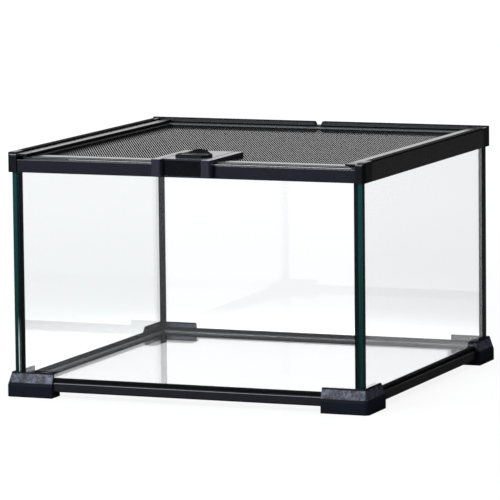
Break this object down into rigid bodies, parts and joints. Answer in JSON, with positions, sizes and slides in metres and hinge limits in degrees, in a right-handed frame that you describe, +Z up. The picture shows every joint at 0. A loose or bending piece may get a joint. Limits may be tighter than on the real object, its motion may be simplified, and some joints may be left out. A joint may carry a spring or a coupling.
{
  "type": "reptile terrarium",
  "caption": "Low glass reptile terrarium with a black frame, corner feet and a sliding screen lid with a centre latch.",
  "frame": {"origin": "on the table under the middle of the tank's footprint", "axes": "+Z up, +Y towards the back, +X to the right as seen from the front, where the latch is"},
  "size_m": [0.3106, 0.3138, 0.201],
  "materials": {
    "pane_glass": "clear float glass, teal-green at the cut edges",
    "silicone": "black silicone, satin",
    "rail_plastic": "extruded plastic, satin gloss",
    "corner_plastic": "moulded plastic, satin gloss",
    "foot_plastic": "moulded plastic, fine grain",
    "lid_plastic": "satin plastic frame",
    "screen_wire": "expanded metal, black paint",
    "latch_plastic": "moulded plastic, satin",
    "badge_gloss": "high gloss, bare",
    "button_plastic": "moulded plastic, satin",
    "bolt_plastic": "moulded nylon",
    "screw_steel": "zinc-plated steel"
  },
  "bodies": {
    "tank": {"floor_pane": "pane_glass", "front_pane": "pane_glass", "back_pane": "pane_glass", "left_pane": "pane_glass", "right_pane": "pane_glass", "corner_seal_front_left": "silicone", "corner_seal_front_right": "silicone", "corner_seal_back_left": "silicone", "corner_seal_back_right": "silicone", "floor_seal": "silicone", "base_rail_front": "rail_plastic", "base_rail_back": "rail_plastic", "base_rail_left": "rail_plastic", "base_rail_right": "rail_plastic", "top_rail_front": "rail_plastic", "top_rail_back": "rail_plastic", "top_rail_left": "rail_plastic", "top_rail_right": "rail_plastic", "foot_front_left": "foot_plastic", "foot_front_right": "foot_plastic", "foot_back_left": "foot_plastic", "foot_back_right": "foot_plastic", "top_corner_front_left": "corner_plastic", "top_corner_front_right": "corner_plastic", "top_corner_back_left": "corner_plastic", "top_corner_back_right": "corner_plastic"},
    "lid": {"lid_bar_front": "lid_plastic", "lid_bar_back": "lid_plastic", "lid_bar_left": "lid_plastic", "lid_bar_right": "lid_plastic", "lid_mesh": "screen_wire", "latch_base": "latch_plastic", "badge_plate": "badge_gloss", "latch_screws": "screw_steel"},
    "lock": {"thumb_button": "button_plastic", "lock_bolt": "bolt_plastic"}
  },
  "joints": [
    {"name": "lid_slide", "type": "slide", "parent": "tank", "child": "lid", "axis": [0, -1, 0], "range_m": [0, 0.3]},
    {"name": "lock_press", "type": "slide", "parent": "lid", "child": "lock", "axis": [0, 0, -1], "range_m": [0, 0.0018]}
  ]
}
